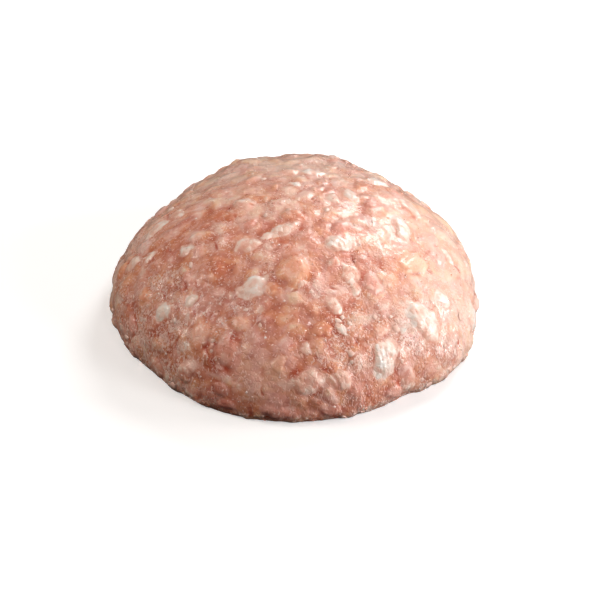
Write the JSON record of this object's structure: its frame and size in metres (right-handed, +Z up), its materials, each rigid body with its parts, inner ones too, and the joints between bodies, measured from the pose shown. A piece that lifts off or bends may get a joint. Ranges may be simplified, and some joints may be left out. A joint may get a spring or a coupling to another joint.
{
  "type": "raw ground chicken mound",
  "caption": "Rounded mound of raw ground chicken with a craggy, flaky skin and scraps of pale fat, lying on a flat underside.",
  "frame": {"origin": "middle of the flat underside, on the surface that the mound lies on", "axes": "+Z up out of the crown, -Y the front that faces the viewer, +X to the viewer's right"},
  "size_m": [0.1398, 0.142, 0.0489],
  "materials": {
    "minced_flesh": "wet raw minced chicken, pale salmon pink and a little translucent",
    "fat": "soft moist cream-white fat",
    "lean_meat": "smooth wet peach-pink lean meat",
    "sinew": "pale wet fibres of sinew",
    "juice": "thin glossy meat juice"
  },
  "bodies": {
    "root": {"chicken_mince_mound": "minced_flesh"}
  },
  "joints": []
}
